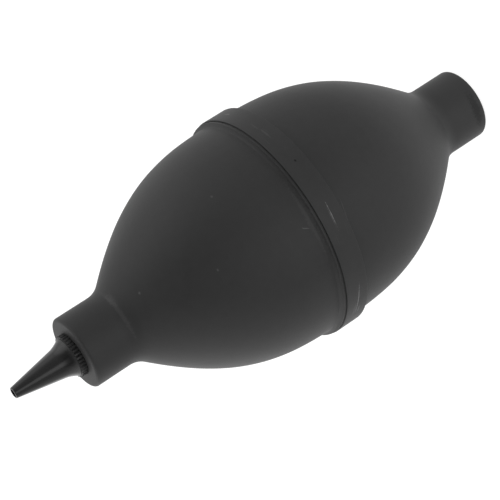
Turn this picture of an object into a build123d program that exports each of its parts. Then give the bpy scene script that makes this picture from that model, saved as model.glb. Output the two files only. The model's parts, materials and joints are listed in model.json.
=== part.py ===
from build123d import *
from math import atan, cos, pi, sin, sqrt, tan
import os

# A hand dust blower. The origin is the centre of the rear neck's end face, and +Z runs along the
# bulb's axis towards the nozzle. Lengths are in millimetres.

# The bulb is a rubber shell with a short neck at each end, in two halves that meet at its widest place.
BULB_R = 27.5
FRONT_LENGTH = 46.3
REAR_LENGTH = 46.0
FULLNESS = 1.425
WALL = 2.6
WALL_POINTS = 8
NECK_R = 8.85
FRONT_NECK_LENGTH = 11.6
REAR_NECK_LENGTH = 11.9
NECK_BORE_R = 5.0
NECK_BORE_LENGTH = 11.3
NECK_RIM_ROUND = 0.6
NECK_ROOT_FILLET = 6.0

# The band covers the joint and lies in a shallow land, behind a thin flange on the front half that
# slopes down to the skin. A shallow groove parts the two. Their edges are measured from the joint.
BAND_R = 28.65
BAND_FRONT_EDGE = 2.97
BAND_REAR_EDGE = 2.95
BAND_EDGE_ROUND = 0.12
LAND_R = 26.9
GROOVE_WIDTH = 0.43
GROOVE_FLOOR_R = 28.3
FLANGE_R = 28.45
FLANGE_WIDTH = 0.3
FLANGE_SLOPE = 0.9

# Barbs hold the two inserts in the rubber necks. Depths are measured from the neck's end face.
BARB_START = 2.6
BARB_PITCH = 2.6
BARB_TAPER = 2.0
BARB_HEIGHT = 0.45
BARB_COUNT = 3

# Gaps between pieces that are bonded, pressed or stacked, and round pieces that move.
BOND_GAP = 0.02
STACK_GAP = 0.05
RUNNING_GAP = 0.05

# The nozzle, with heights measured from the front neck's end face: a knurled collar, then a hollow
# flare that narrows to a long cone.
COLLAR_R = 5.24
COLLAR_HEIGHT = 1.45
KNURL_TEETH = 36
KNURL_SIZE = 0.34
FLARE_R = 4.75
FLARE_SIDE = 0.15
FLARE_HOLLOW = 1.3
CONE_BASE_R = 3.5
CONE_BASE = 4.6
TIP_R = 1.35
TIP_ROUND = 0.2
NOZZLE_REACH = 16.35
TIP_BORE_R = 1.0
TIP_BORE_LENGTH = 5.0
SHANK_BORE_R = 1.6
SHANK_LENGTH = 9.5
SHANK_CORE_R = 2.75
PILOT_R = 3.45
PILOT_LENGTH = 0.95

# The coarse thread between the nozzle's shank and its bushing.
THREAD_PITCH = 1.5
THREAD_CREST_R = 3.45
THREAD_CREST_HALF = 0.18
THREAD_FLANK = 0.5
THREAD_TURNS = 4
THREAD_START = -8.5
BUSHING_THREAD_TURNS = 7
THREAD_GAP = 0.12
THREAD_EMBED = 0.1
THREAD_LEAD_IN = (0, 0, 90)

# The bushing in the front neck, and the seal ring in its pocket.
BUSHING_BORE_R = 2.95
RING_POCKET_R = 4.5
RING_POCKET_DEPTH = 1.0
RING_SECTION_R = 0.44

# The one-way inlet in the rear neck, stacked from its grille inwards.
INTAKE_Z = 0.8
POCKET_R = 4.2
CAP_HEIGHT = 1.0
CAP_HOLE_R = 0.6
CAP_HOLE_COUNT = 6
CAP_HOLE_CIRCLE_R = 2.5
FILTER_HEIGHT = 1.6
SCREEN_HEIGHT = 0.3
SCREEN_HOLE_R = 0.3
SCREEN_PITCH = 0.95
SCREEN_HOLES_ACROSS = 6
WEB_HEIGHT = 1.2
WEB_HOLE_R = 1.7
CHAMBER_R = 3.4
CHAMBER_LENGTH = 8.3
SEAT_HEIGHT = 1.0
SEAT_HOLE_R = 1.5
SEAT_CHAMFER = 0.5
BALL_R = 2.4
SPRING_R = 1.5
SPRING_WIRE_R = 0.15
SPRING_TURNS = 3
RETAINER_HEIGHT = 0.7
RETAINER_INSET = 0.3
RETAINER_WINDOW_R = 0.8
RETAINER_WINDOW_CIRCLE_R = 2.1
RETAINER_WINDOW_COUNT = 4

# Heights that follow from the sizes above.
JOINT_Z = REAR_NECK_LENGTH + REAR_LENGTH
FRONT_FACE_Z = JOINT_Z + FRONT_LENGTH + FRONT_NECK_LENGTH
FILTER_Z = INTAKE_Z + CAP_HEIGHT + STACK_GAP
SCREEN_Z = FILTER_Z + FILTER_HEIGHT + STACK_GAP
WEB_Z = SCREEN_Z + SCREEN_HEIGHT + STACK_GAP
SEAT_Z = WEB_Z + WEB_HEIGHT
SEAT_TOP_Z = SEAT_Z + STACK_GAP + SEAT_HEIGHT
CHAMBER_END_Z = SEAT_Z + CHAMBER_LENGTH
RETAINER_Z = CHAMBER_END_Z - RETAINER_INSET - RETAINER_HEIGHT

# The ball rests on the seat's 45 degree chamfer, whose cone meets the axis below the seat's top.
CONE_APEX_Z = SEAT_TOP_Z - SEAT_HOLE_R - SEAT_CHAMFER
BALL_Z = CONE_APEX_Z + BALL_R * sqrt(2) + RUNNING_GAP

# Outlines are drawn as radius and height, on the plane of the axis.
NOZZLE_PLANE = Plane((0, 0, FRONT_FACE_Z), x_dir=(1, 0, 0), z_dir=(0, -1, 0))


def wall_lean(share, length):
    """Angle between the wall and the axis, a share of the way from the joint to the neck."""
    swell = BULB_R - NECK_R
    turn = pi / 2 * share**FULLNESS
    return atan(swell * sin(turn) * pi / 2 * FULLNESS * share ** (FULLNESS - 1) / length)


def wall_point(share, length, inset):
    """Radius and distance from the joint of a point on the wall, inset under its skin."""
    lean = wall_lean(share, length)
    radius = NECK_R + (BULB_R - NECK_R) * cos(pi / 2 * share**FULLNESS) - inset * cos(lean)
    return radius, share * length - inset * sin(lean)


def wall_points(first_share, last_share, length, inset=0.0):
    """Points along a half's wall between two shares of the way from the joint to the neck."""
    step = (last_share - first_share) / WALL_POINTS
    return [wall_point(first_share + step * i, length, inset) for i in range(WALL_POINTS + 1)]


def barb_points(radius):
    """Barbs on a radius, as radius and depth in the neck: each steps out, then tapers inwards."""
    points = []
    for i in range(BARB_COUNT):
        depth = BARB_START + BARB_PITCH * i
        points.append((radius, depth))
        points.append((radius + BARB_HEIGHT, depth))
        points.append((radius, depth + BARB_TAPER))
    return points


def shell_half(end, length, neck_length, skin_start, rim):
    """One half of the bulb with its neck: end is +1 for the front and -1 for the rear. The skin
    starts at a distance from the joint, and rim is the outline between its start and the joint."""
    neck_face = length + neck_length
    neck_lean = wall_lean(1, length)
    root_reach = NECK_ROOT_FILLET * tan(neck_lean / 2)
    skin_end = length - root_reach * cos(neck_lean)

    def place(point):
        return (point[0], JOINT_Z + end * point[1])

    skin = wall_points(skin_start / length, skin_end / length, length)
    lining = wall_points(0.0, 1.0, length, WALL)
    bore = [(radius, neck_face - depth) for radius, depth in barb_points(NECK_BORE_R)]
    with BuildPart() as half:
        with BuildSketch(Plane.XZ):
            with BuildLine():
                Spline(*[place(point) for point in lining])
                Polyline(
                    place(lining[-1]),
                    place((NECK_BORE_R, neck_face - NECK_BORE_LENGTH)),
                    *[place(point) for point in reversed(bore)],
                    place((NECK_BORE_R, neck_face)),
                    place((NECK_R, neck_face)),
                    place((NECK_R, length + root_reach)),
                )
                TangentArc(
                    place((NECK_R, length + root_reach)),
                    place(skin[-1]),
                    tangent=(0, -end),
                )
                Spline(*[place(point) for point in skin])
                Polyline(
                    place(skin[0]),
                    *[place(point) for point in rim],
                    place(lining[0]),
                )
            make_face()
        revolve(axis=Axis.Z)
        fillet(ring_edge(half, place((NECK_R, neck_face))), NECK_RIM_ROUND)
    return half.part


def ring_edge(builder, point):
    """The circular edge of a turned part that passes through a point of its outline."""
    circles = builder.edges().filter_by(GeomType.CIRCLE)
    return circles.sort_by(lambda edge: abs(edge.radius - point[0]) + abs(edge.center().Z - point[1]))[0]


def thread(root_r, crest_r, gap, start_z, turns):
    """A helical ridge about the nozzle's axis whose flanks stand a gap outside the nominal thread."""
    with BuildPart() as ridge:
        with BuildLine():
            spine = Helix(THREAD_PITCH, turns * THREAD_PITCH, root_r, center=(0, 0, FRONT_FACE_Z + start_z))
        with BuildSketch(Plane(spine @ 0, x_dir=(1, 0, 0), z_dir=spine % 0)):
            with BuildLine():
                root_half = THREAD_CREST_HALF + (THREAD_CREST_R - root_r) * THREAD_FLANK + gap
                crest_half = THREAD_CREST_HALF + (THREAD_CREST_R - crest_r) * THREAD_FLANK + gap
                Polyline(
                    (0, root_half),
                    (crest_r - root_r, crest_half),
                    (crest_r - root_r, -crest_half),
                    (0, -root_half),
                    close=True,
                )
            make_face()
        sweep(path=spine, is_frenet=True)
    return ridge.part


# The rubber shell.
groove_front = BAND_FRONT_EDGE + GROOVE_WIDTH
flange_front = groove_front + FLANGE_WIDTH
front_rim = [
    (FLANGE_R, flange_front),
    (FLANGE_R, groove_front),
    (GROOVE_FLOOR_R, groove_front),
    (GROOVE_FLOOR_R, BAND_FRONT_EDGE),
    (LAND_R, BAND_FRONT_EDGE),
    (LAND_R, 0),
]
rear_rim = [(LAND_R, BAND_REAR_EDGE), (LAND_R, 0)]
front_half = shell_half(1, FRONT_LENGTH, FRONT_NECK_LENGTH, flange_front + FLANGE_SLOPE, front_rim)
rear_half = shell_half(-1, REAR_LENGTH, REAR_NECK_LENGTH, BAND_REAR_EDGE, rear_rim)

with BuildPart() as seam_band:
    with BuildSketch(Plane.XZ):
        with BuildLine():
            Polyline(
                (LAND_R + BOND_GAP, JOINT_Z - BAND_REAR_EDGE + BOND_GAP),
                (BAND_R, JOINT_Z - BAND_REAR_EDGE + BOND_GAP),
                (BAND_R, JOINT_Z + BAND_FRONT_EDGE - BOND_GAP),
                (LAND_R + BOND_GAP, JOINT_Z + BAND_FRONT_EDGE - BOND_GAP),
                close=True,
            )
        make_face()
    revolve(axis=Axis.Z)
    fillet(ring_edge(seam_band, (BAND_R, JOINT_Z - BAND_REAR_EDGE)), BAND_EDGE_ROUND)
    fillet(ring_edge(seam_band, (BAND_R, JOINT_Z + BAND_FRONT_EDGE)), BAND_EDGE_ROUND)

# The nozzle and what holds it.
cone_slope = (CONE_BASE_R - TIP_R) / (NOZZLE_REACH - CONE_BASE)
shank_thread = thread(SHANK_CORE_R - THREAD_EMBED, THREAD_CREST_R, 0.0, THREAD_START, THREAD_TURNS)
bushing_thread = thread(
    BUSHING_BORE_R - THREAD_EMBED,
    THREAD_CREST_R + THREAD_GAP,
    THREAD_GAP,
    THREAD_START - THREAD_PITCH,
    BUSHING_THREAD_TURNS,
)

with BuildPart() as nozzle:
    with BuildSketch(NOZZLE_PLANE):
        with BuildLine():
            Polyline(
                (SHANK_BORE_R, 0),
                (SHANK_BORE_R, -SHANK_LENGTH),
                (SHANK_CORE_R, -SHANK_LENGTH),
                (SHANK_CORE_R, -PILOT_LENGTH),
                (PILOT_R, -PILOT_LENGTH),
                (PILOT_R, STACK_GAP),
                (COLLAR_R, STACK_GAP),
                (COLLAR_R, COLLAR_HEIGHT),
                (FLARE_R, COLLAR_HEIGHT),
                (FLARE_R, COLLAR_HEIGHT + FLARE_SIDE),
            )
            Bezier(
                (FLARE_R, COLLAR_HEIGHT + FLARE_SIDE),
                (CONE_BASE_R + FLARE_HOLLOW * cone_slope, CONE_BASE - FLARE_HOLLOW),
                (CONE_BASE_R, CONE_BASE),
            )
            Polyline(
                (CONE_BASE_R, CONE_BASE),
                (TIP_R, NOZZLE_REACH),
                (TIP_BORE_R, NOZZLE_REACH),
                (TIP_BORE_R, NOZZLE_REACH - TIP_BORE_LENGTH),
                (SHANK_BORE_R, 0),
            )
        make_face()
    revolve(axis=Axis.Z)
    fillet(ring_edge(nozzle, (TIP_R, FRONT_FACE_Z + NOZZLE_REACH)), TIP_ROUND)
    with BuildSketch(Plane.XY.offset(FRONT_FACE_Z)):
        with PolarLocations(COLLAR_R, KNURL_TEETH):
            RegularPolygon(KNURL_SIZE, 4)
    extrude(amount=COLLAR_HEIGHT, mode=Mode.SUBTRACT)
    add(shank_thread, rotation=THREAD_LEAD_IN)

with BuildPart() as nozzle_bushing:
    with BuildSketch(NOZZLE_PLANE):
        with BuildLine():
            Polyline(
                (BUSHING_BORE_R, -FRONT_NECK_LENGTH),
                (NECK_BORE_R - BOND_GAP, -FRONT_NECK_LENGTH),
                *[(radius, -depth) for radius, depth in reversed(barb_points(NECK_BORE_R - BOND_GAP))],
                (NECK_BORE_R - BOND_GAP, 0),
                (RING_POCKET_R, 0),
                (RING_POCKET_R, -RING_POCKET_DEPTH),
                (BUSHING_BORE_R, -RING_POCKET_DEPTH),
                close=True,
            )
        make_face()
    revolve(axis=Axis.Z)
    add(bushing_thread, rotation=THREAD_LEAD_IN, mode=Mode.SUBTRACT)

with BuildPart() as nozzle_seal_ring:
    with BuildSketch(NOZZLE_PLANE):
        with Locations((PILOT_R + BOND_GAP + RING_SECTION_R, -RING_POCKET_DEPTH / 2)):
            Circle(RING_SECTION_R)
    revolve(axis=Axis.Z)

# The one-way inlet.
with BuildPart() as intake_valve_housing:
    with BuildSketch(Plane.XZ):
        with BuildLine():
            Polyline(
                (NECK_BORE_R - BOND_GAP, INTAKE_Z),
                *barb_points(NECK_BORE_R - BOND_GAP),
                (NECK_BORE_R - BOND_GAP, CHAMBER_END_Z),
                (CHAMBER_R, CHAMBER_END_Z),
                (CHAMBER_R, SEAT_Z),
                (WEB_HOLE_R, SEAT_Z),
                (WEB_HOLE_R, WEB_Z),
                (POCKET_R, WEB_Z),
                (POCKET_R, INTAKE_Z),
                close=True,
            )
        make_face()
    revolve(axis=Axis.Z)

with BuildPart() as intake_cap:
    with BuildSketch(Plane.XY.offset(INTAKE_Z)):
        Circle(POCKET_R - BOND_GAP)
        Circle(CAP_HOLE_R, mode=Mode.SUBTRACT)
        with PolarLocations(CAP_HOLE_CIRCLE_R, CAP_HOLE_COUNT):
            Circle(CAP_HOLE_R, mode=Mode.SUBTRACT)
    extrude(amount=CAP_HEIGHT)

with BuildPart() as dust_filter:
    with BuildSketch(Plane.XY.offset(FILTER_Z)):
        Circle(POCKET_R - STACK_GAP)
    extrude(amount=FILTER_HEIGHT)

with BuildPart() as filter_screen:
    with BuildSketch(Plane.XY.offset(SCREEN_Z)):
        Circle(POCKET_R - STACK_GAP)
        with GridLocations(SCREEN_PITCH, SCREEN_PITCH, SCREEN_HOLES_ACROSS, SCREEN_HOLES_ACROSS):
            Circle(SCREEN_HOLE_R, mode=Mode.SUBTRACT)
    extrude(amount=SCREEN_HEIGHT)

with BuildPart() as valve_seat:
    with BuildSketch(Plane.XY.offset(SEAT_Z + STACK_GAP)):
        Circle(CHAMBER_R - BOND_GAP)
        Circle(SEAT_HOLE_R, mode=Mode.SUBTRACT)
    extrude(amount=SEAT_HEIGHT)
    chamfer(ring_edge(valve_seat, (SEAT_HOLE_R, SEAT_TOP_Z)), SEAT_CHAMFER)

with BuildPart() as valve_ball:
    with BuildSketch(Plane.XZ):
        with BuildLine():
            CenterArc((0, BALL_Z), BALL_R, -90, 180)
            Line((0, BALL_Z + BALL_R), (0, BALL_Z - BALL_R))
        make_face()
    revolve(axis=Axis.Z)

# The spring stands on the ball, a running gap off its surface, and reaches to the retainer.
wire_reach = BALL_R + SPRING_WIRE_R + RUNNING_GAP
spring_low_z = BALL_Z + sqrt(wire_reach**2 - SPRING_R**2)
spring_high_z = RETAINER_Z - SPRING_WIRE_R - RUNNING_GAP
spring_height = spring_high_z - spring_low_z

with BuildPart() as valve_spring:
    with BuildLine():
        coil = Helix(spring_height / SPRING_TURNS, spring_height, SPRING_R, center=(0, 0, spring_low_z))
    with BuildSketch(Plane(coil @ 0, x_dir=(1, 0, 0), z_dir=coil % 0)):
        Circle(SPRING_WIRE_R)
    sweep(path=coil, is_frenet=True)

with BuildPart() as spring_retainer:
    with BuildSketch(Plane.XY.offset(RETAINER_Z)):
        Circle(CHAMBER_R - BOND_GAP)
        with PolarLocations(RETAINER_WINDOW_CIRCLE_R, RETAINER_WINDOW_COUNT):
            Circle(RETAINER_WINDOW_R, mode=Mode.SUBTRACT)
    extrude(amount=RETAINER_HEIGHT)

front_half.label = "front_bulb_half"
rear_half.label = "rear_bulb_half"
seam_band.part.label = "seam_band"
nozzle.part.label = "nozzle"
nozzle_bushing.part.label = "nozzle_bushing"
nozzle_seal_ring.part.label = "nozzle_seal_ring"
intake_valve_housing.part.label = "intake_valve_housing"
intake_cap.part.label = "intake_cap"
dust_filter.part.label = "dust_filter"
filter_screen.part.label = "filter_screen"
valve_seat.part.label = "valve_seat"
valve_ball.part.label = "valve_ball"
valve_spring.part.label = "valve_spring"
spring_retainer.part.label = "spring_retainer"

os.makedirs("parts", exist_ok=True)
export_step(front_half, "parts/front_bulb_half.step")
export_step(rear_half, "parts/rear_bulb_half.step")
export_step(seam_band.part, "parts/seam_band.step")
export_step(nozzle.part, "parts/nozzle.step")
export_step(nozzle_bushing.part, "parts/nozzle_bushing.step")
export_step(nozzle_seal_ring.part, "parts/nozzle_seal_ring.step")
export_step(intake_valve_housing.part, "parts/intake_valve_housing.step")
export_step(intake_cap.part, "parts/intake_cap.step")
export_step(dust_filter.part, "parts/dust_filter.step")
export_step(filter_screen.part, "parts/filter_screen.step")
export_step(valve_seat.part, "parts/valve_seat.step")
export_step(valve_ball.part, "parts/valve_ball.step")
export_step(valve_spring.part, "parts/valve_spring.step")
export_step(spring_retainer.part, "parts/spring_retainer.step")
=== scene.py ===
"""A hand dust blower: a rubber bulb with a middle band, a screwed-in nozzle and a one-way inlet."""

import json
import math

import bpy
from mathutils import Matrix, Vector, noise


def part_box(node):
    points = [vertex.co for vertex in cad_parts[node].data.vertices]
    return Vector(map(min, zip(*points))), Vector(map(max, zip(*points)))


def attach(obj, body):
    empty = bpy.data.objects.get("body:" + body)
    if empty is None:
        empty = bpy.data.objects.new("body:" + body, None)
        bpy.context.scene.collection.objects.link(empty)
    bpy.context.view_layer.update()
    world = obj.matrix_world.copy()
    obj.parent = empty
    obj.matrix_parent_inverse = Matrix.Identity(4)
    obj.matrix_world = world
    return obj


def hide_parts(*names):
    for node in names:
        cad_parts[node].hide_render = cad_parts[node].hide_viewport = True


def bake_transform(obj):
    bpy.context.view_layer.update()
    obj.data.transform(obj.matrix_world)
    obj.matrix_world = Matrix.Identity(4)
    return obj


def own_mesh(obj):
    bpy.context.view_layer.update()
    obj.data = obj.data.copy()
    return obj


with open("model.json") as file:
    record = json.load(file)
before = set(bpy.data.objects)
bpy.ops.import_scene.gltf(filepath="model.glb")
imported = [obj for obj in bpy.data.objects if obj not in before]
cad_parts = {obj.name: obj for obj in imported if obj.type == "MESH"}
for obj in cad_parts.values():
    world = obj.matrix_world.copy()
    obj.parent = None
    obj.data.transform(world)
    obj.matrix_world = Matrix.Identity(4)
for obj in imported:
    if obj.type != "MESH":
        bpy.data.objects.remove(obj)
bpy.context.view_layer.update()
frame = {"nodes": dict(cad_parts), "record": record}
MM = 0.001

# Sizes that the frame doesn't state. The rest comes from the frame's boxes and mounts.
BULB_R = 27.5 * MM
WALL = 2.6 * MM
FRONT_NECK_LENGTH = 11.6 * MM
REAR_NECK_LENGTH = 11.9 * MM
NECK_BORE_R = 5.02 * MM
NECK_RIM_ROUND = 0.75 * MM
NECK_MOUTH_ROUND = 0.3 * MM
NECK_ROOT_FILLET = 6.0 * MM
LAND_R = 26.9 * MM
GROOVE_WIDTH = 0.5 * MM
GROOVE_FLOOR_R = 28.3 * MM
FLANGE_R = 28.45 * MM
FLANGE_WIDTH = 0.3 * MM
FLANGE_ROUND = 0.1 * MM
FLANGE_FOOT = 0.8 * MM
BAND_FRONT_ROUND = 0.15 * MM
BAND_REAR_ROUND = 0.05 * MM
BAND_INSIDE_GAP = 0.01 * MM
BAND_FRONT_GAP = 0.02 * MM
WAVINESS = 0.04 * MM
SLOW_WAVE = 14 * MM
QUICK_WAVE = 6 * MM
LATHE_SEGMENTS = 288
SHARP_FROM = math.radians(40)

# The wall's radius falls from the joint to the neck as a cosine. Above 1, this makes the bulb fuller.
FULLNESS = 1.425

# The felt disc, which keeps a pinhole on its axis, and the spring's wire.
FELT_PINHOLE_R = 0.02 * MM
FELT_EDGE_GAP = 0.02 * MM
FELT_FACE_GAP = 0.04 * MM
FELT_ROUND = 0.35 * MM
FELT_FLUFF = 0.02 * MM
FELT_EDGE_FLUFF = 0.004
FELT_SEGMENTS = 96
WIRE_R = 0.15 * MM
WIRE_STEPS = 160
WIRE_SIDES = 14
SPRING_TURNS = 3.0
SPRING_CLOSED_END = 0.18
SPRING_CLOSED_RISE = 0.08

# Where the look changes along the axis: painted light from the floor fades above the rear neck's end,
# and the nozzle's finish changes above the front neck's face.
REAR_FLOOR_LIGHT_FULL = 8 * MM
REAR_FLOOR_LIGHT_GONE = 20 * MM
COLLAR_DULL_TO = 1.4 * MM
CONE_GLOSSY_FROM = 2.6 * MM

# The camera: how far the bulb's axis leans towards it, how far the picture is rolled, and its lens.
AXIS_TILT = math.radians(21.39)
PICTURE_ROLL = math.radians(33.0)
LENS_MM = 138.05
SENSOR_MM = 36.0
NEAR_CLIP = 0.01
FAR_CLIP = 50.0
CAMERA_DISTANCE = 444.0 * MM
AIM_ABOVE_JOINT = 3.45 * MM
AIM_RIGHT = 3.66 * MM
AIM_UP = 4.65 * MM

# The light table's half width, and how far under the blower it lies.
FLOOR_REACH = 3.0
FLOOR_STEPS = 24
FLOOR_DROP = 0.2 * MM

# The light tent: its brightness, which falls towards +X, the dark patch on the camera's side, and the
# bright strip in it. Heights and widths are shares of a sphere's radius.
TENT_LIGHT = 1.0
TENT_SLOPE = 0.15
TENT_SLOPE_ABOVE = 0.15
DARK_BELOW = 0.74
DARK_ABOVE = 0.12
DARK_FADE = 0.5
DARK_CORNERS = 0.4
DARK_TILT = math.radians(-5)
DARK_SQUEEZE = 0.4
DARK_EDGE = -0.2
DARK_CORE = 0.95
STRIP_LIGHT = 0.95
STRIP_TURN = math.radians(20)
STRIP_CORE = 0.1
STRIP_HALF = 0.38
STRIP_LOW = -0.62
STRIP_LOW_FADE = 0.14
STRIP_HIGH = 0.75
STRIP_HIGH_FADE = 0.65

# Soft patches on the tent: turn from the camera's side towards +X, rise, reach (degrees) and amount.
TENT_PATCHES = [
    (80, 28, 35, 0.7),
    (-88, -15, 48, -0.35),
    (-150, 5, 35, 0.4),
    (105, -38, 42, -0.32),
    (180, -62, 38, 0.35),
    (-140, -50, 35, -0.3),
    (118, -6, 20, 0.35),
]

# The share of a mark that has its full strength. Beyond it the mark fades.
MARK_CORE = 0.3

# Marks on the skin: turn from the camera's side towards +X in degrees, height above the joint,
# radius, length and width in millimetres, tilt in degrees, and strength (dark when negative).
FRONT_MARKS_AND_HIGHLIGHTS = [
    (28.8, 19.0, 25.7, 0.9, 0.7, 0, 0.07),
    (-9.7, 6.3, 27.4, 2.2, 0.35, -62, 0.11),
    (-8.8, 6.9, 27.4, 0.9, 0.4, -30, 0.05),
    (-4.5, 27.1, 22.6, 0.9, 0.6, 0, 0.08),
    (15.0, 41.6, 12.9, 0.9, 0.7, 0, 0.1),
    # The last three are painted highlights: two faint streaks along the front neck's root crease, and a
    # faint band of painted light over the flange's foot in front of the band.
    (16.0, 46.6, 8.85, 18.0, 1.4, 0, 0.03),
    (38.0, 46.3, 8.85, 6.0, 2.2, 0, 0.03),
    (-8.2, 4.6, 27.9, 24.0, 2.0, 0, 0.03),
]
BAND_MARKS = [
    (-10.0, -0.1, 28.65, 8.0, 0.26, 3, 0.32),
    (-11.0, 0.2, 28.65, 6.0, 0.22, 3, 0.12),
    (-59.0, -0.2, 28.65, 14.0, 0.3, 5, 0.3),
    (-66.0, 0.7, 28.65, 7.0, 0.9, 5, 0.05),
    (-68.0, -0.6, 28.65, 4.0, 0.6, 5, 0.12),
    (69.0, 0.1, 28.65, 3.0, 0.7, 0, 0.12),
    (39.0, 0.0, 28.65, 5.0, 0.7, 0, 0.04),
    (46.0, 0.3, 28.65, 3.5, 0.6, 0, 0.03),
    (18.6, -0.3, 28.65, 0.9, 0.8, 0, -1.0),
]
REAR_MARKS = [
    (-14.0, -3.7, 27.45, 9.0, 0.25, 9, 0.05),
    (-22.0, -55.6, 8.85, 12.0, 3.0, 0, -0.55),
]

FRONT_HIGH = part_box("front_bulb_half")[1]
REAR_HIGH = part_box("rear_bulb_half")[1]
BAND_LOW, BAND_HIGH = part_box("seam_band")
JOINT_Z = REAR_HIGH.z
FRONT_FACE_Z = FRONT_HIGH.z
FRONT_LENGTH = FRONT_FACE_Z - JOINT_Z - FRONT_NECK_LENGTH
REAR_LENGTH = JOINT_Z - REAR_NECK_LENGTH
BAND_R = BAND_HIGH.x
NECK_R = next(m for m in frame["record"]["mounts"] if m["name"] == "rear_neck")["dims"]["r_mm"] * MM
BAND_FRONT_EDGE = BAND_HIGH.z - JOINT_Z
BAND_REAR_EDGE = JOINT_Z - BAND_LOW.z


# Outlines: lists of (radius, height) points that run anticlockwise round a closed section.


def wall_lean(share, length):
    """Angle between the wall and the axis, a share of the way from the joint to the neck."""
    turn = math.pi / 2 * share**FULLNESS
    rise = (BULB_R - NECK_R) * math.sin(turn) * math.pi / 2 * FULLNESS * share ** (FULLNESS - 1)
    return math.atan(rise / length)


def wall_point(share, length, inset=0.0):
    """Radius and distance from the joint of a point on the wall, inset under its skin."""
    lean = wall_lean(share, length)
    radius = NECK_R + (BULB_R - NECK_R) * math.cos(math.pi / 2 * share**FULLNESS)
    return radius - inset * math.cos(lean), share * length - inset * math.sin(lean)


def between(first, last, steps):
    """Evenly spaced values from first to last, both included."""
    return [first + (last - first) * i / steps for i in range(steps + 1)]


def arc(centre, radius, start, end, steps):
    """Points on a circle, between two angles in degrees from the outward direction."""
    angles = [math.radians(a) for a in between(start, end, steps)]
    return [(centre[0] + radius * math.cos(a), centre[1] + radius * math.sin(a)) for a in angles]


def line(start, end, steps):
    """Points along a straight line, both ends included."""
    return list(zip(between(start[0], end[0], steps), between(start[1], end[1], steps)))


def half_outline(rim, length, neck_length):
    """A bulb half's section from the joint up to the neck's mouth, as radius and distance from the
    joint. rim is the stretch between the joint and the skin, from the lining outwards."""
    face = length + neck_length
    reach = NECK_ROOT_FILLET * math.tan(wall_lean(1, length) / 2)
    skin_end = 1 - reach * math.cos(wall_lean(1, length)) / length
    skin_start = rim[-1][1] / length
    lean_deg = math.degrees(wall_lean(skin_end, length))
    root_centre = (NECK_R + NECK_ROOT_FILLET, length + reach)
    rim_centre = (NECK_R - NECK_RIM_ROUND, face - NECK_RIM_ROUND)
    mouth_centre = (NECK_BORE_R + NECK_MOUTH_ROUND, face - NECK_MOUTH_ROUND)
    skin = [wall_point(share, length) for share in between(skin_start, skin_end, steps=90)]
    root = arc(root_centre, NECK_ROOT_FILLET, 180 + lean_deg, 180, steps=10)
    side = line((NECK_R, length + reach), (NECK_R, rim_centre[1]), steps=12)
    rim_arc = arc(rim_centre, NECK_RIM_ROUND, 0, 90, steps=8)
    end = line((rim_centre[0], face), (mouth_centre[0], face), steps=6)
    mouth = arc(mouth_centre, NECK_MOUTH_ROUND, 90, 180, steps=5)
    bore = line((NECK_BORE_R, mouth_centre[1]), (NECK_BORE_R, length), steps=8)
    lining = [wall_point(share, length, WALL) for share in between(1, 0, steps=30)]
    return rim + skin[1:] + root[1:] + side[1:] + rim_arc[1:] + end[1:] + mouth[1:] + bore[1:] + lining


def lathe(name, outline, segments=LATHE_SEGMENTS):
    """A closed solid of revolution about the axis, smooth except at its sharp corners."""
    count = len(outline)
    verts = []
    for i in range(segments):
        angle = math.tau * i / segments
        verts += [(r * math.cos(angle), r * math.sin(angle), z) for r, z in outline]
    faces = []
    for i in range(segments):
        here, there = i * count, (i + 1) % segments * count
        for k in range(count):
            after = (k + 1) % count
            faces.append((here + k, there + k, there + after, here + after))
    return solid(name, verts, faces)


def solid(name, verts, faces):
    """A smooth-shaded mesh object that remembers its rest shape for its material."""
    mesh = bpy.data.meshes.new(name)
    mesh.from_pydata(verts, [], faces)
    mesh.update()
    mesh.shade_smooth()
    mesh.set_sharp_from_angle(angle=SHARP_FROM)
    remember_rest(mesh)
    piece = bpy.data.objects.new(name, mesh)
    bpy.context.scene.collection.objects.link(piece)
    return piece


def remember_rest(mesh):
    """Stores each vertex's rest place, which the material reads, so that it doesn't slide at a pose."""
    rest = mesh.attributes.new("rest", "FLOAT_VECTOR", "POINT")
    rest.data.foreach_set("vector", [x for v in mesh.vertices for x in v.co])


def soften(piece, amount):
    """Moves the skin in and out by a slow noise, as moulded rubber is never quite round."""
    for v in piece.data.vertices:
        out = Vector((v.co.x, v.co.y, 0)).normalized()
        wave = noise.noise(v.co / SLOW_WAVE) + 0.5 * noise.noise(v.co / QUICK_WAVE)
        v.co += out * wave * amount


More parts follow.
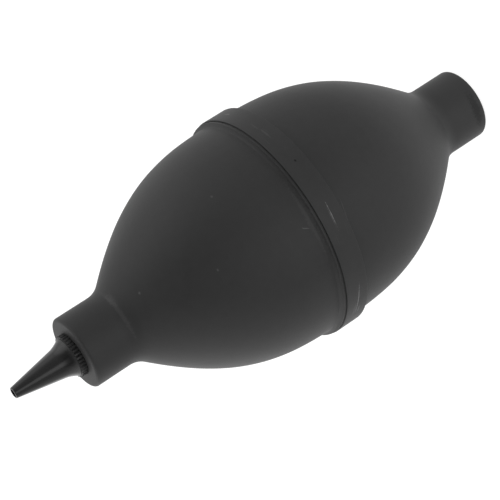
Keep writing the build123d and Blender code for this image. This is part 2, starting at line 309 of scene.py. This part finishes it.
def build_bulb():
    """The two rubber halves and the band."""
    groove_front = BAND_FRONT_EDGE + GROOVE_WIDTH
    flange_front = groove_front + FLANGE_WIDTH
    foot_end = flange_front + FLANGE_FOOT
    foot_r = wall_point(foot_end / FRONT_LENGTH, FRONT_LENGTH)[0]
    flange_flat_r = FLANGE_R - FLANGE_ROUND
    foot = [
        (foot_r + (flange_flat_r - foot_r) * (1 - share) ** 2, flange_front + FLANGE_FOOT * share)
        for share in between(0, 1, steps=8)
    ]
    front_rim = [
        (LAND_R, 0),
        (LAND_R, BAND_FRONT_EDGE),
        (GROOVE_FLOOR_R, BAND_FRONT_EDGE + BAND_FRONT_GAP),
        (GROOVE_FLOOR_R, groove_front),
        (flange_flat_r, groove_front),
        *arc((flange_flat_r, groove_front + FLANGE_ROUND), FLANGE_ROUND, -90, 0, steps=4)[1:],
        *arc((flange_flat_r, flange_front - FLANGE_ROUND), FLANGE_ROUND, 0, 90, steps=4),
        *foot[1:],
    ]
    rear_start = wall_point(BAND_REAR_EDGE / REAR_LENGTH, REAR_LENGTH)
    rear_rim = [(LAND_R, 0), (LAND_R, BAND_REAR_EDGE), rear_start]
    front_half = half_outline(front_rim, FRONT_LENGTH, FRONT_NECK_LENGTH)
    rear_half = half_outline(rear_rim, REAR_LENGTH, REAR_NECK_LENGTH)
    front_piece = lathe("bulb_front", [(r, JOINT_Z + d) for r, d in front_half])
    rear_piece = lathe("bulb_rear", [(r, JOINT_Z - d) for r, d in reversed(rear_half)])
    band_piece = lathe("bulb_band", band_outline())
    soften(front_piece, WAVINESS)
    soften(rear_piece, WAVINESS)
    for piece, node in (
        (front_piece, "front_bulb_half"),
        (rear_piece, "rear_bulb_half"),
        (band_piece, "seam_band"),
    ):
        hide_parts(node)
        bend_with_squeeze(piece)
    return front_piece, rear_piece, band_piece


def band_outline():
    """The band's section: square, with its outer edges a little rounded."""
    low, high = BAND_LOW.z, BAND_HIGH.z
    inner = LAND_R + BAND_INSIDE_GAP
    rear_centre = (BAND_R - BAND_REAR_ROUND, low + BAND_REAR_ROUND)
    front_centre = (BAND_R - BAND_FRONT_ROUND, high - BAND_FRONT_ROUND)
    return [
        (inner, high),
        (inner, low),
        *line((inner, low), (rear_centre[0], low), steps=4)[1:],
        *arc(rear_centre, BAND_REAR_ROUND, -90, 0, steps=5)[1:],
        *line((BAND_R, rear_centre[1]), (BAND_R, front_centre[1]), steps=10)[1:],
        *arc(front_centre, BAND_FRONT_ROUND, 0, 90, steps=5)[1:],
    ]


def bend_with_squeeze(piece):
    """Bakes the piece's placement into its mesh."""
    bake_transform(piece)


# Materials: each recipe wires one procedural surface.


class Wiring:
    """A node tree in the making. Inputs may be numbers, colours or another node's output."""

    def __init__(self, tree):
        self.tree = tree

    def node(self, kind, inputs=None, **settings):
        """A new shader node of a kind, with its inputs plugged and its settings set."""
        made = self.tree.nodes.new("ShaderNode" + kind)
        for key, value in settings.items():
            setattr(made, key, value)
        for key, value in (inputs or {}).items():
            self.plug(made.inputs[key], value)
        return made

    def plug(self, socket, value):
        """Links an output to a socket, or gives the socket a fixed value."""
        if isinstance(value, bpy.types.NodeSocket):
            self.tree.links.new(value, socket)
        else:
            socket.default_value = value

    def span(self, value, low, high, to_low=0.0, to_high=1.0, ease="LINEAR"):
        """value, moved from one range to another and kept inside it."""
        inputs = {"Value": value, "From Min": low, "From Max": high, "To Min": to_low, "To Max": to_high}
        return self.node("MapRange", inputs, interpolation_type=ease).outputs["Result"]

    def spread(self, noise_value, to_low=0.0, to_high=1.0):
        """The range that noise mostly keeps to, moved to another range."""
        return self.span(noise_value, 0.3, 0.7, to_low, to_high)

    def math(self, operation, a, b=0.0):
        return self.node("Math", {0: a, 1: b}, operation=operation).outputs[0]

    def vector(self, operation, a, b=(0.0, 0.0, 0.0), output=0):
        return self.node("VectorMath", {0: a, 1: b}, operation=operation).outputs[output]

    def blend(self, factor, a, b):
        """A number between a and b."""
        return self.node("Mix", {0: factor, 2: a, 3: b}).outputs[0]


class Surface(Wiring):
    """One material, with its principled shader."""

    def __init__(self, name):
        self.material = bpy.data.materials.new(name)
        self.material.use_nodes = True
        super().__init__(self.material.node_tree)
        self.bsdf = self.tree.nodes["Principled BSDF"]

    def set(self, **inputs):
        """Plugs the principled shader's inputs by name."""
        for key, value in inputs.items():
            self.plug(self.bsdf.inputs[key.replace("_", " ")], value)

    def rest(self):
        """Where a point of a built piece was at rest."""
        return self.node("Attribute", attribute_name="rest").outputs["Vector"]

    def place(self):
        """Where a point of a CAD node is, in its own frame."""
        return self.node("TexCoord").outputs["Object"]

    def noise(self, vector, size, detail=2.0, rough=0.5):
        """Noise whose features are about size across, from 0 to 1."""
        inputs = {"Vector": vector, "Scale": 1 / size, "Detail": detail, "Roughness": rough}
        return self.node("TexNoise", inputs).outputs["Fac"]

    def mix(self, factor, a, b):
        """A colour between a and b."""
        made = self.node("Mix", data_type="RGBA")
        self.plug(made.inputs[0], factor)
        self.plug(made.inputs[6], a)
        self.plug(made.inputs[7], b)
        return made.outputs[2]

    def stretch(self, vector, x, y, z):
        return self.vector("MULTIPLY", vector, (x, y, z))

    def mark(self, rest, waver, mark):
        """A short streak on the skin, as strong as its last number at its middle and gone at its ends.
        waver roughens its outline."""
        turn, above_joint, radius, length, width, tilt, strength = mark
        turn = math.radians(turn)
        height = JOINT_Z + above_joint * MM
        centre = (radius * MM * math.sin(turn), -radius * MM * math.cos(turn), height)
        inputs = {
            "Vector": rest,
            "Location": centre,
            "Rotation": (0.0, math.radians(tilt), turn),
            "Scale": (length / 2 * MM, length / 2 * MM, width / 2 * MM),
        }
        local = self.node("Mapping", inputs, vector_type="TEXTURE").outputs["Vector"]
        distance = self.math("ADD", self.vector("LENGTH", local, output="Value"), waver)
        return self.span(distance, MARK_CORE, 1.0, strength, 0.0, ease="SMOOTHSTEP")

    def bump(self, height, distance):
        """Fine relief, as high as distance."""
        inputs = {"Height": height, "Distance": distance, "Strength": 1.0}
        self.set(Normal=self.node("Bump", inputs).outputs["Normal"])


def grey(value, warmth=0.0):
    """A grey colour, redder than it is blue when it has warmth."""
    return (value * (1 + warmth), value, value * (1 - warmth), 1.0)


def rubber_surface(name, tone, marks, scuffed):
    """Matte moulded rubber: frosted grain, slow tone changes, a rear neck painted lighter to stand in
    for light from the floor, and its marks, a few of them painted highlights.
    """
    s = Surface(name)
    rest = s.rest()
    slow = s.noise(rest, 22 * MM, detail=3)
    grain = s.noise(rest, 0.18 * MM, detail=3, rough=0.65)
    mottle = s.noise(rest, 2.2 * MM, detail=4, rough=0.6)
    height = s.node("SeparateXYZ", {0: rest}).outputs["Z"]
    # Painted light: the rubber is painted lighter towards the rear end, standing in for light from the
    # floor.
    painted_floor_light = s.span(height, REAR_FLOOR_LIGHT_FULL, REAR_FLOOR_LIGHT_GONE, 0.45, 0.0)
    base = s.mix(s.spread(slow), grey(tone * 0.86), grey(tone * 1.12))
    base = s.mix(s.span(mottle, 0.35, 0.75, 0.0, 0.25), base, grey(tone * 1.5))
    base = s.mix(painted_floor_light, base, grey(tone * 1.9))
    rough = s.math("ADD", s.spread(slow, 0.53, 0.59), s.spread(grain, -0.03, 0.05))
    shine = 0.42
    if scuffed:
        streaks = s.noise(s.stretch(rest, 1.0, 1.0, 40.0), 7 * MM, detail=4, rough=0.62)
        patches = s.noise(rest, 9 * MM)
        worn = s.math("MULTIPLY", s.span(streaks, 0.62, 0.72), s.span(patches, 0.52, 0.62))
        base = s.mix(s.math("MULTIPLY", worn, 0.2), base, grey(0.16))
    waver = s.spread(s.noise(rest, 0.5 * MM, detail=3, rough=0.6), -0.25, 0.25)
    for mark in marks:
        strength = s.mark(rest, waver, mark)
        # Marks that lighten the colour: specks and scuffs, and on the front half also painted
        # highlights.
        if mark[-1] > 0:
            base = s.mix(strength, base, grey(0.5))
        else:
            shine = s.math("MULTIPLY", shine, s.math("ADD", strength, 1.0))
    s.set(Base_Color=base, Roughness=rough, Specular_IOR_Level=shine)
    s.set(Sheen_Weight=0.02, Sheen_Roughness=0.45)
    s.bump(s.math("ADD", grain, s.math("MULTIPLY", mottle, 0.6)), 0.012 * MM)
    return s.material


def gloss_plastic(name):
    """Moulded black plastic with a faint drawn streak along its length, dull on its knurled collar."""
    s = Surface(name)
    place = s.place()
    along = s.noise(s.stretch(place, 1.0, 1.0, 0.06), 0.5 * MM, detail=3, rough=0.6)
    fine = s.noise(place, 0.12 * MM)
    height = s.math("SUBTRACT", s.node("SeparateXYZ", {0: place}).outputs["Z"], FRONT_FACE_Z)
    cone = s.span(height, COLLAR_DULL_TO, CONE_GLOSSY_FROM, ease="SMOOTHSTEP")
    shiny = s.mix(along, grey(0.006), grey(0.014))
    s.set(Base_Color=s.mix(cone, grey(0.026), shiny), Specular_IOR_Level=0.5)
    s.set(Roughness=s.blend(cone, 0.42, s.spread(along, 0.13, 0.21)))
    s.bump(s.math("ADD", along, s.math("MULTIPLY", fine, 0.3)), 0.006 * MM)
    return s.material


def satin_plastic(name, tone):
    """Spark-eroded black plastic for the inserts and the grille."""
    s = Surface(name)
    place = s.place()
    grain = s.noise(place, 0.1 * MM, detail=4, rough=0.7)
    slow = s.noise(place, 1.5 * MM)
    s.set(Base_Color=s.mix(slow, grey(tone * 0.8), grey(tone * 1.3)))
    s.set(Roughness=s.spread(grain, 0.38, 0.52))
    s.bump(grain, 0.01 * MM)
    return s.material


def seal_rubber(name):
    """Smooth moulded seal rubber, with a dusting of talc."""
    s = Surface(name)
    place = s.place()
    dust = s.noise(place, 0.25 * MM, detail=4, rough=0.7)
    s.set(Base_Color=s.mix(s.span(dust, 0.55, 0.8), grey(0.012), grey(0.06)))
    s.set(Roughness=s.spread(dust, 0.35, 0.55), Sheen_Weight=0.1)
    s.bump(dust, 0.008 * MM)
    return s.material


def metal(name, colour, rough, stretch):
    """Bare metal with tool marks stretched along one way, and a slight stain."""
    s = Surface(name)
    place = s.place()
    marks = s.noise(s.stretch(place, *stretch), 0.08 * MM, detail=4, rough=0.7)
    stain = s.noise(place, 1.2 * MM, detail=3)
    dull = tuple(c * 0.7 for c in colour) + (1.0,)
    s.set(Base_Color=s.mix(s.span(stain, 0.45, 0.75), colour + (1.0,), dull), Metallic=1.0)
    s.set(Roughness=s.spread(marks, rough * 0.7, rough * 1.4))
    s.bump(marks, 0.004 * MM)
    return s.material


def felt(name):
    """Pressed wool felt: tangled fibres, soft edges and a little grey dust."""
    s = Surface(name)
    rest = s.rest()
    fibres = s.noise(s.stretch(rest, 1.0, 0.35, 1.0), 0.12 * MM, detail=6, rough=0.75)
    crossed = s.noise(s.stretch(rest, 0.35, 1.0, 1.0), 0.1 * MM, detail=6, rough=0.75)
    tangle = s.math("MAXIMUM", fibres, crossed)
    dust = s.noise(rest, 1.8 * MM, detail=3)
    clean = s.mix(tangle, grey(0.42, 0.04), grey(0.72, 0.03))
    s.set(Base_Color=s.mix(s.span(dust, 0.5, 0.8, 0.0, 0.5), clean, grey(0.2)))
    s.set(Roughness=0.95, Sheen_Weight=0.6, Sheen_Roughness=0.6)
    s.bump(tangle, 0.08 * MM)
    return s.material


def paint(piece, material):
    """Gives a built piece its one material."""
    piece.data.materials.clear()
    piece.data.materials.append(material)


def paint_bulb(front, rear, band):
    """The three rubber pieces. Only the raised band is scuffed all round."""
    paint(front, rubber_surface("rubber_front", 0.024, FRONT_MARKS_AND_HIGHLIGHTS, scuffed=False))
    paint(rear, rubber_surface("rubber_rear", 0.024, REAR_MARKS, scuffed=False))
    paint(band, rubber_surface("rubber_band", 0.026, BAND_MARKS, scuffed=True))


def paint_cad_nodes():
    """The CAD nodes whose shape is right keep it, and get their finish here."""
    nodes = frame["nodes"]
    insert = satin_plastic("insert_plastic", 0.02)
    steel = metal("drawn_steel", (0.55, 0.55, 0.56), 0.3, (1.0, 1.0, 0.2))
    looks = {
        "nozzle": gloss_plastic("nozzle_plastic"),
        "nozzle_bushing": insert,
        "nozzle_seal_ring": seal_rubber("seal_rubber"),
        "intake_valve_housing": insert,
        "intake_cap": satin_plastic("grille_plastic", 0.016),
        "filter_screen": steel,
        "valve_seat": seal_rubber("seat_rubber"),
        "valve_ball": metal("ball_steel", (0.72, 0.72, 0.73), 0.08, (1.0, 1.0, 1.0)),
        "spring_retainer": metal("stamped_brass", (0.78, 0.56, 0.24), 0.28, (0.1, 1.0, 1.0)),
    }
    for name, material in looks.items():
        for slot in range(len(nodes[name].data.materials)):
            nodes[name].data.materials[slot] = material


def build_felt():
    """The felt disc: a thick pad with fluffed faces and a rounded rim, inside its CAD disc."""
    low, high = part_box("dust_filter")
    rim_r = high.x - FELT_EDGE_GAP
    face_z = high.z - FELT_FACE_GAP
    top = line((FELT_PINHOLE_R, face_z), (rim_r - FELT_ROUND, face_z), steps=26)
    shoulder = arc((rim_r - FELT_ROUND, face_z - FELT_ROUND), FELT_ROUND, 90, 0, steps=6)
    upper = top + shoulder[1:]
    lower = [(r, low.z + high.z - z) for r, z in reversed(upper)]
    pad = lathe("filter_felt", list(reversed(upper + lower)), FELT_SEGMENTS)
    for v in pad.data.vertices:
        fluff = noise.noise(v.co / (0.35 * MM)) + 0.6 * noise.noise(v.co / (0.15 * MM))
        v.co.z += FELT_FLUFF * fluff
        v.co.xy *= 1 - FELT_EDGE_FLUFF * abs(fluff)
    paint(pad, felt("filter_felt"))
    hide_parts("dust_filter")
    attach(pad, "rear_end")


def spring_rise(share):
    """How much of its height the spring's wire has climbed, a share of the way along it: little in
    the closed coils at its ends, and the rest between them."""
    open_share = (share - SPRING_CLOSED_END) / (1 - 2 * SPRING_CLOSED_END)
    climbed = min(max(open_share, 0.0), 1.0)
    return SPRING_CLOSED_RISE * share + (1 - SPRING_CLOSED_RISE) * climbed


def build_spring():
    """The inlet spring: round wire with closed end coils."""
    low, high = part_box("valve_spring")
    coil_r = high.x - WIRE_R
    climb = high.z - low.z - 2 * WIRE_R
    verts, faces = [], []
    for i in range(WIRE_STEPS + 1):
        share = i / WIRE_STEPS
        angle = math.tau * SPRING_TURNS * share
        out = Vector((math.cos(angle), math.sin(angle), 0))
        centre = out * coil_r + Vector((0, 0, low.z + WIRE_R + climb * spring_rise(share)))
        for k in range(WIRE_SIDES):
            around = math.tau * k / WIRE_SIDES
            verts.append(centre + WIRE_R * (out * math.cos(around) + Vector((0, 0, math.sin(around)))))
    for i in range(WIRE_STEPS):
        here, there = i * WIRE_SIDES, (i + 1) * WIRE_SIDES
        for k in range(WIRE_SIDES):
            after = (k + 1) % WIRE_SIDES
            faces.append((here + k, there + k, there + after, here + after))
    last = WIRE_STEPS * WIRE_SIDES
    faces.append(tuple(range(WIRE_SIDES)))
    faces.append(tuple(reversed(range(last, last + WIRE_SIDES))))
    spring = solid("inlet_spring", verts, faces)
    paint(spring, metal("spring_wire", (0.5, 0.5, 0.51), 0.25, (1.0, 1.0, 1.0)))
    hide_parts("valve_spring")
    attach(spring, "rear_end")
    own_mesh(spring)


# The studio.


def camera_axes():
    """The camera's right, up and back directions in the row frame."""
    back = Vector((0, -math.cos(AXIS_TILT), math.sin(AXIS_TILT)))
    across = Vector((1, 0, 0))
    along = Vector((0, math.sin(AXIS_TILT), math.cos(AXIS_TILT)))
    right = -across * math.sin(PICTURE_ROLL) - along * math.cos(PICTURE_ROLL)
    up = across * math.cos(PICTURE_ROLL) - along * math.sin(PICTURE_ROLL)
    return right, up, back


def build_camera():
    """A long lens, looking a little past the bulb's middle."""
    right, up, back = camera_axes()
    aim = Vector((0, 0, JOINT_Z + AIM_ABOVE_JOINT))
    eye = aim - right * AIM_RIGHT - up * AIM_UP + back * CAMERA_DISTANCE
    data = bpy.data.cameras.new("camera")
    data.lens = LENS_MM
    data.sensor_width = SENSOR_MM
    data.clip_start = NEAR_CLIP
    data.clip_end = FAR_CLIP
    camera = bpy.data.objects.new("camera", data)
    camera.matrix_world = Matrix.Translation(eye) @ Matrix((right, up, back)).transposed().to_4x4()
    bpy.context.scene.collection.objects.link(camera)
    bpy.context.scene.camera = camera


def build_floor():
    """A wide white light table. It looks white to the camera and lets the tent's light through."""
    places = between(-FLOOR_REACH, FLOOR_REACH, FLOOR_STEPS)
    verts = [(x, y, -FLOOR_DROP) for x in places for y in places]
    faces = []
    for i in range(FLOOR_STEPS):
        for k in range(FLOOR_STEPS):
            corner = i * (FLOOR_STEPS + 1) + k
            faces.append((corner, corner + FLOOR_STEPS + 1, corner + FLOOR_STEPS + 2, corner + 1))
    floor = solid("studio_floor", verts, faces)
    s = Surface("light_table")
    s.set(Base_Color=grey(0.2), Roughness=0.9, Emission_Color=grey(1.0), Emission_Strength=0.95)
    seen = s.node("LightPath").outputs["Is Camera Ray"]
    clear = s.node("BsdfTransparent").outputs[0]
    table = s.node("MixShader", {0: seen, 1: clear, 2: s.bsdf.outputs[0]}).outputs[0]
    s.plug(s.tree.nodes["Material Output"].inputs["Surface"], table)
    paint(floor, s.material)


def build_tent():
    """A white light tent, darker on the side where the camera stands. The dark patch is taller than
    wide and uneven from corner to corner, with an upright bright strip in it that glossy pieces
    show. The camera itself sees plain white."""
    world = bpy.data.worlds.new("light_tent")
    world.use_nodes = True
    w = Wiring(world.node_tree)
    place = w.node("TexCoord").outputs["Generated"]
    parts = w.node("SeparateXYZ", {0: place}).outputs
    slope = w.math("ADD", w.math("MULTIPLY", parts["Z"], TENT_SLOPE_ABOVE), TENT_SLOPE)
    tent = w.math("SUBTRACT", TENT_LIGHT, w.math("MULTIPLY", parts["X"], slope))
    unit = w.vector("NORMALIZE", w.vector("MULTIPLY", place, (1.0, 1.0, DARK_SQUEEZE)))
    facing = Vector((0.0, -math.cos(DARK_TILT), math.sin(DARK_TILT) * DARK_SQUEEZE)).normalized()
    toward = w.vector("DOT_PRODUCT", unit, facing, "Value")
    level = w.span(parts["Z"], -DARK_FADE, DARK_FADE, DARK_BELOW, DARK_ABOVE)
    corners = w.math("MULTIPLY", w.math("MULTIPLY", parts["X"], parts["Z"]), DARK_CORNERS)
    strip_side = (math.cos(STRIP_TURN), -math.sin(STRIP_TURN), 0.0)
    aside = w.math("ABSOLUTE", w.vector("DOT_PRODUCT", place, strip_side, "Value"))
    across = w.span(aside, STRIP_CORE, STRIP_HALF, 1.0, 0.0, ease="SMOOTHSTEP")
    foot = w.span(parts["Z"], STRIP_LOW, STRIP_LOW + STRIP_LOW_FADE, ease="SMOOTHSTEP")
    head = w.span(parts["Z"], STRIP_HIGH - STRIP_HIGH_FADE, STRIP_HIGH, 1.0, 0.0, ease="SMOOTHSTEP")
    strip = w.math("MULTIPLY", w.math("MULTIPLY", across, w.math("MULTIPLY", foot, head)), STRIP_LIGHT)
    dark = w.math("ADD", w.math("ADD", level, corners), strip)
    light = w.blend(w.span(toward, DARK_EDGE, DARK_CORE, ease="SMOOTHSTEP"), tent, dark)
    for turn, rise, reach, amount in TENT_PATCHES:
        turn, rise = math.radians(turn), math.radians(rise)
        centre = (math.cos(rise) * math.sin(turn), -math.cos(rise) * math.cos(turn), math.sin(rise))
        close = w.vector("DOT_PRODUCT", place, centre, "Value")
        edge = math.cos(math.radians(reach))
        light = w.math("ADD", light, w.span(close, edge, 1.0, 0.0, amount, ease="SMOOTHSTEP"))
    seen = w.node("LightPath").outputs["Is Camera Ray"]
    background = w.tree.nodes["Background"]
    w.plug(background.inputs["Color"], grey(1.0))
    w.plug(background.inputs["Strength"], w.blend(seen, light, 1.0))
    bpy.context.scene.world = world


front, rear, band = build_bulb()
paint_bulb(front, rear, band)
paint_cad_nodes()
build_felt()
build_spring()
build_camera()
build_floor()
build_tent()
bpy.context.scene.view_settings.view_transform = "Standard"
